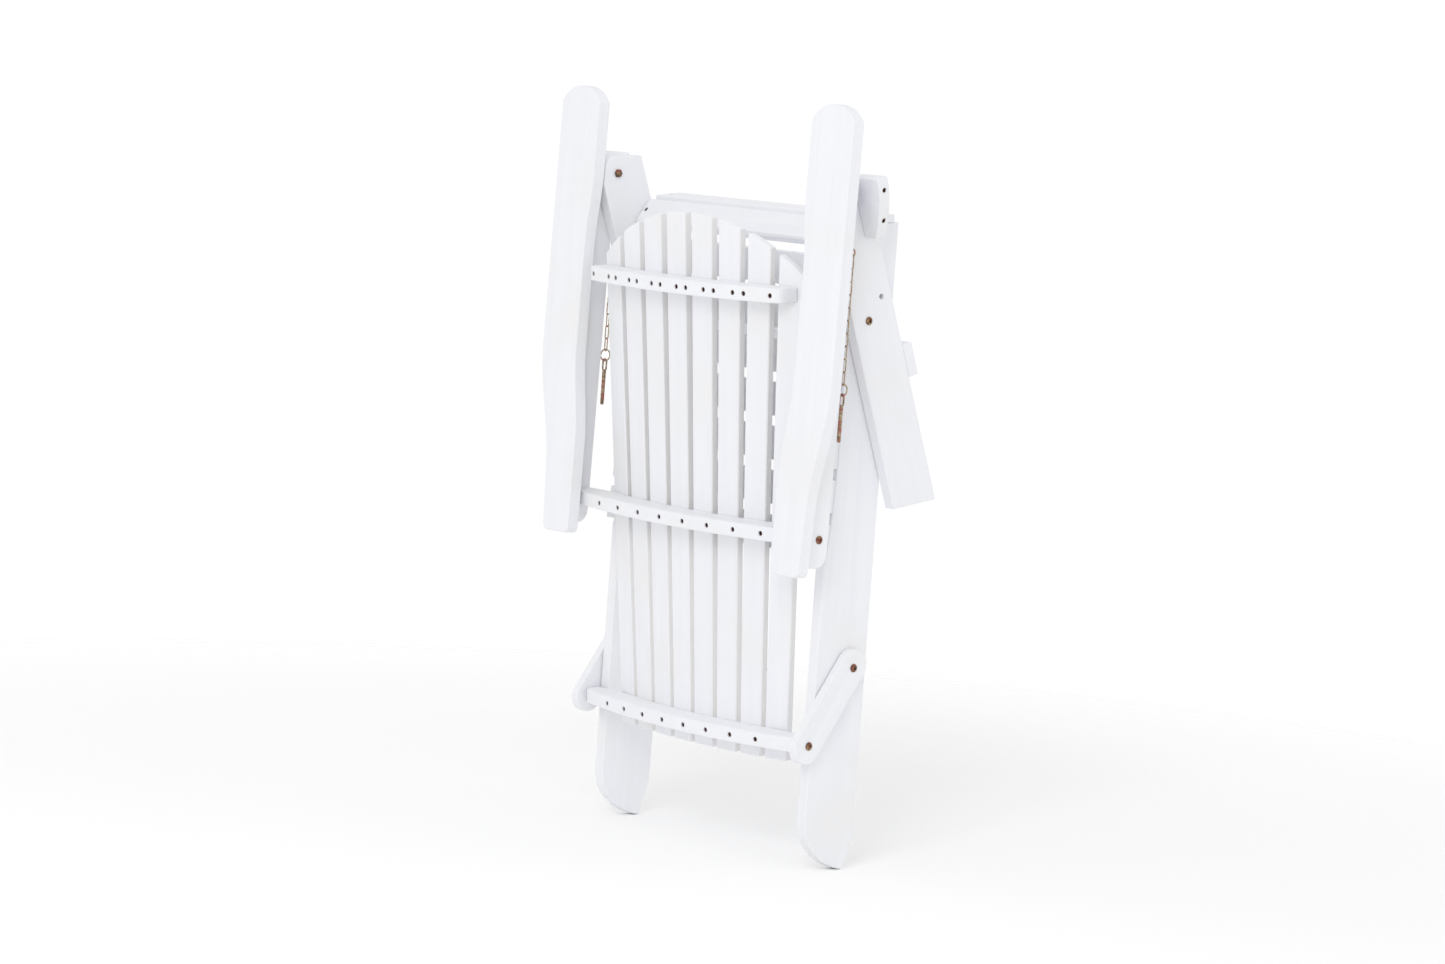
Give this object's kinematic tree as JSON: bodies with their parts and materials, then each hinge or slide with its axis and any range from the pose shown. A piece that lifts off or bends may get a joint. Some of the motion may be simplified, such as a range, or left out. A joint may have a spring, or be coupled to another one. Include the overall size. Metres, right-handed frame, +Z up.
{
  "type": "folding slatted garden armchair",
  "caption": "Folded wooden slatted garden armchair with wide arms, fanned curved back, sloping seat rails and chained lock pins; unfolds by linked hinges.",
  "frame": {"origin": "centre of the folded chair in plan, at the tips of the side rails' feet", "axes": "+Z up along the side rails, +X across the chair to its right arm as seen from the back panel's rear, +Y from the back panel through the seat to the legs' rear edges"},
  "size_m": [0.704, 0.3211, 1.1452],
  "materials": {
    "side_rail_left": "white paint, satin",
    "side_rail_right": "white paint, satin",
    "seat_slat_1": "white paint, satin",
    "seat_slat_2": "white paint, satin",
    "seat_slat_3": "white paint, satin",
    "seat_slat_4": "white paint, satin",
    "seat_slat_5": "white paint, satin",
    "seat_slat_6": "white paint, satin",
    "seat_slat_7": "white paint, satin",
    "seat_front_slat": "white paint, satin",
    "seat_apron": "white paint, satin",
    "leg_bolt_left": "dull zinc plate",
    "leg_bolt_right": "dull zinc plate",
    "link_bolt_left": "dull zinc plate",
    "link_bolt_right": "dull zinc plate",
    "front_leg_left": "white paint, satin",
    "front_leg_right": "white paint, satin",
    "leg_stretcher": "white paint, satin",
    "arm_corbel_left": "white paint, satin",
    "arm_corbel_right": "white paint, satin",
    "screw_eye_left": "dull zinc plate",
    "screw_eye_right": "dull zinc plate",
    "front_arm_nut_left": "dull zinc plate",
    "front_arm_nut_right": "dull zinc plate",
    "back_link_left": "white paint, satin",
    "back_link_right": "white paint, satin",
    "back_bolt_left": "dull zinc plate",
    "back_bolt_right": "dull zinc plate",
    "back_slat_1": "white paint, satin",
    "back_slat_2": "white paint, satin",
    "back_slat_3": "white paint, satin",
    "back_slat_4": "white paint, satin",
    "back_slat_5": "white paint, satin",
    "back_slat_6": "white paint, satin",
    "back_slat_7": "white paint, satin",
    "back_slat_8": "white paint, satin",
    "back_batten_lower": "white paint, satin",
    "back_batten_middle": "white paint, satin",
    "back_batten_upper": "white paint, satin",
    "rear_arm_bolt_left": "dull zinc plate",
    "rear_arm_bolt_right": "dull zinc plate",
    "arm_left": "white paint, satin",
    "arm_right": "white paint, satin",
    "arm_rail_left": "white paint, satin",
    "arm_rail_right": "white paint, satin",
    "front_arm_bolt_left": "dull zinc plate",
    "front_arm_bolt_right": "dull zinc plate",
    "pin_chain_left": "dull zinc plate",
    "pin_ring_left": "dull zinc plate",
    "lock_pin_left": "dull zinc plate",
    "pin_chain_right": "dull zinc plate",
    "pin_ring_right": "dull zinc plate",
    "lock_pin_right": "dull zinc plate"
  },
  "bodies": {
    "seat_frame": {"side_rail_left": "side_rail_left", "side_rail_right": "side_rail_right", "seat_slat_1": "seat_slat_1", "seat_slat_2": "seat_slat_2", "seat_slat_3": "seat_slat_3", "seat_slat_4": "seat_slat_4", "seat_slat_5": "seat_slat_5", "seat_slat_6": "seat_slat_6", "seat_slat_7": "seat_slat_7", "seat_front_slat": "seat_front_slat", "seat_apron": "seat_apron", "leg_bolt_left": "leg_bolt_left", "leg_bolt_right": "leg_bolt_right", "link_bolt_left": "link_bolt_left", "link_bolt_right": "link_bolt_right"},
    "front_legs": {"front_leg_left": "front_leg_left", "front_leg_right": "front_leg_right", "leg_stretcher": "leg_stretcher", "arm_corbel_left": "arm_corbel_left", "arm_corbel_right": "arm_corbel_right", "screw_eye_left": "screw_eye_left", "screw_eye_right": "screw_eye_right", "front_arm_nut_left": "front_arm_nut_left", "front_arm_nut_right": "front_arm_nut_right"},
    "back_links": {"back_link_left": "back_link_left", "back_link_right": "back_link_right", "back_bolt_left": "back_bolt_left", "back_bolt_right": "back_bolt_right"},
    "back": {"back_slat_1": "back_slat_1", "back_slat_2": "back_slat_2", "back_slat_3": "back_slat_3", "back_slat_4": "back_slat_4", "back_slat_5": "back_slat_5", "back_slat_6": "back_slat_6", "back_slat_7": "back_slat_7", "back_slat_8": "back_slat_8", "back_batten_lower": "back_batten_lower", "back_batten_middle": "back_batten_middle", "back_batten_upper": "back_batten_upper", "rear_arm_bolt_left": "rear_arm_bolt_left", "rear_arm_bolt_right": "rear_arm_bolt_right"},
    "arms": {"arm_left": "arm_left", "arm_right": "arm_right", "arm_rail_left": "arm_rail_left", "arm_rail_right": "arm_rail_right", "front_arm_bolt_left": "front_arm_bolt_left", "front_arm_bolt_right": "front_arm_bolt_right"},
    "chain_left": {"pin_chain_left": "pin_chain_left", "pin_ring_left": "pin_ring_left", "lock_pin_left": "lock_pin_left"},
    "chain_right": {"pin_chain_right": "pin_chain_right", "pin_ring_right": "pin_ring_right", "lock_pin_right": "lock_pin_right"}
  },
  "joints": [
    {"name": "leg_fold", "type": "hinge", "parent": "seat_frame", "child": "front_legs", "pos_m": [0, 0.00171, 0.8294], "axis": [1, 0, 0], "range_deg": [0, 62.1]},
    {"name": "link_fold", "type": "hinge", "parent": "seat_frame", "child": "back_links", "pos_m": [0, 0.02721, 0.309], "axis": [1, 0, 0], "range_deg": [-115.19, 0]},
    {"name": "back_fold", "type": "hinge", "parent": "back_links", "child": "back", "pos_m": [0, -0.04909, 0.193], "axis": [1, 0, 0], "range_deg": [0, 209.5]},
    {"name": "arm_fold", "type": "hinge", "parent": "back", "child": "arms", "pos_m": [0, -0.08129, 0.5053], "axis": [1, 0, 0], "range_deg": [-111.33, 0]},
    {"name": "chain_swing_left", "type": "hinge", "parent": "front_legs", "child": "chain_left", "pos_m": [-0.2888, -0.04629, 0.9245], "axis": [1, 0, 0], "range_deg": [0, 15]},
    {"name": "chain_swing_right", "type": "hinge", "parent": "front_legs", "child": "chain_right", "pos_m": [0.2888, -0.04629, 0.9245], "axis": [1, 0, 0], "range_deg": [0, 15]}
  ],
  "couplings": [
    {"joint": "link_fold", "follows": "leg_fold", "ratio": -1.8549},
    {"joint": "back_fold", "follows": "leg_fold", "ratio": 3.3735},
    {"joint": "arm_fold", "follows": "leg_fold", "ratio": -1.7927}
  ]
}
